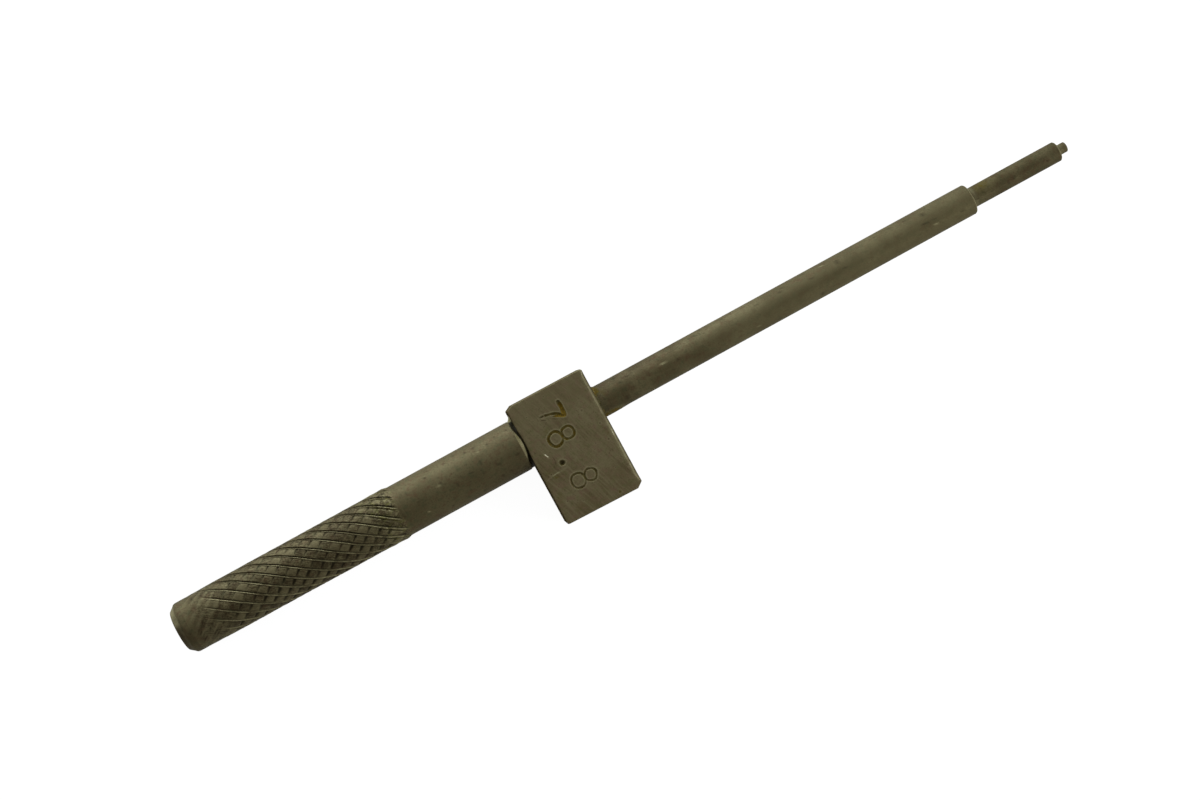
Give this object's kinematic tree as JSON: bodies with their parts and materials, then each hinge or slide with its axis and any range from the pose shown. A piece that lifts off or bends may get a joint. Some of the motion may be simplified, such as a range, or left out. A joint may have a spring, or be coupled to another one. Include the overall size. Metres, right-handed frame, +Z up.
{
  "type": "engine timing gauge",
  "caption": "Injector timing height gauge: round knurled grip, rectangular gauge block brazed on the spindle, long rod and shouldered pilot tip with a small nib.",
  "frame": {"origin": "on the surface that the gauge lies on, under the middle of its bounding box", "axes": "+X along the spindle from the grip's end towards the nib; +Z up, 2 degrees off square to the stamped face as the gauge lies; +Y towards the block's short end"},
  "size_m": [0.1844, 0.024, 0.0096],
  "materials": {
    "spindle_steel": "oxidised bare steel, turned",
    "block_steel": "oxidised bare steel, surface ground",
    "braze": "dull filler metal"
  },
  "bodies": {
    "root": {"spindle": "spindle_steel", "gauge_block": "block_steel", "braze_near": "braze", "braze_far": "braze", "braze_front": "braze"}
  },
  "joints": []
}
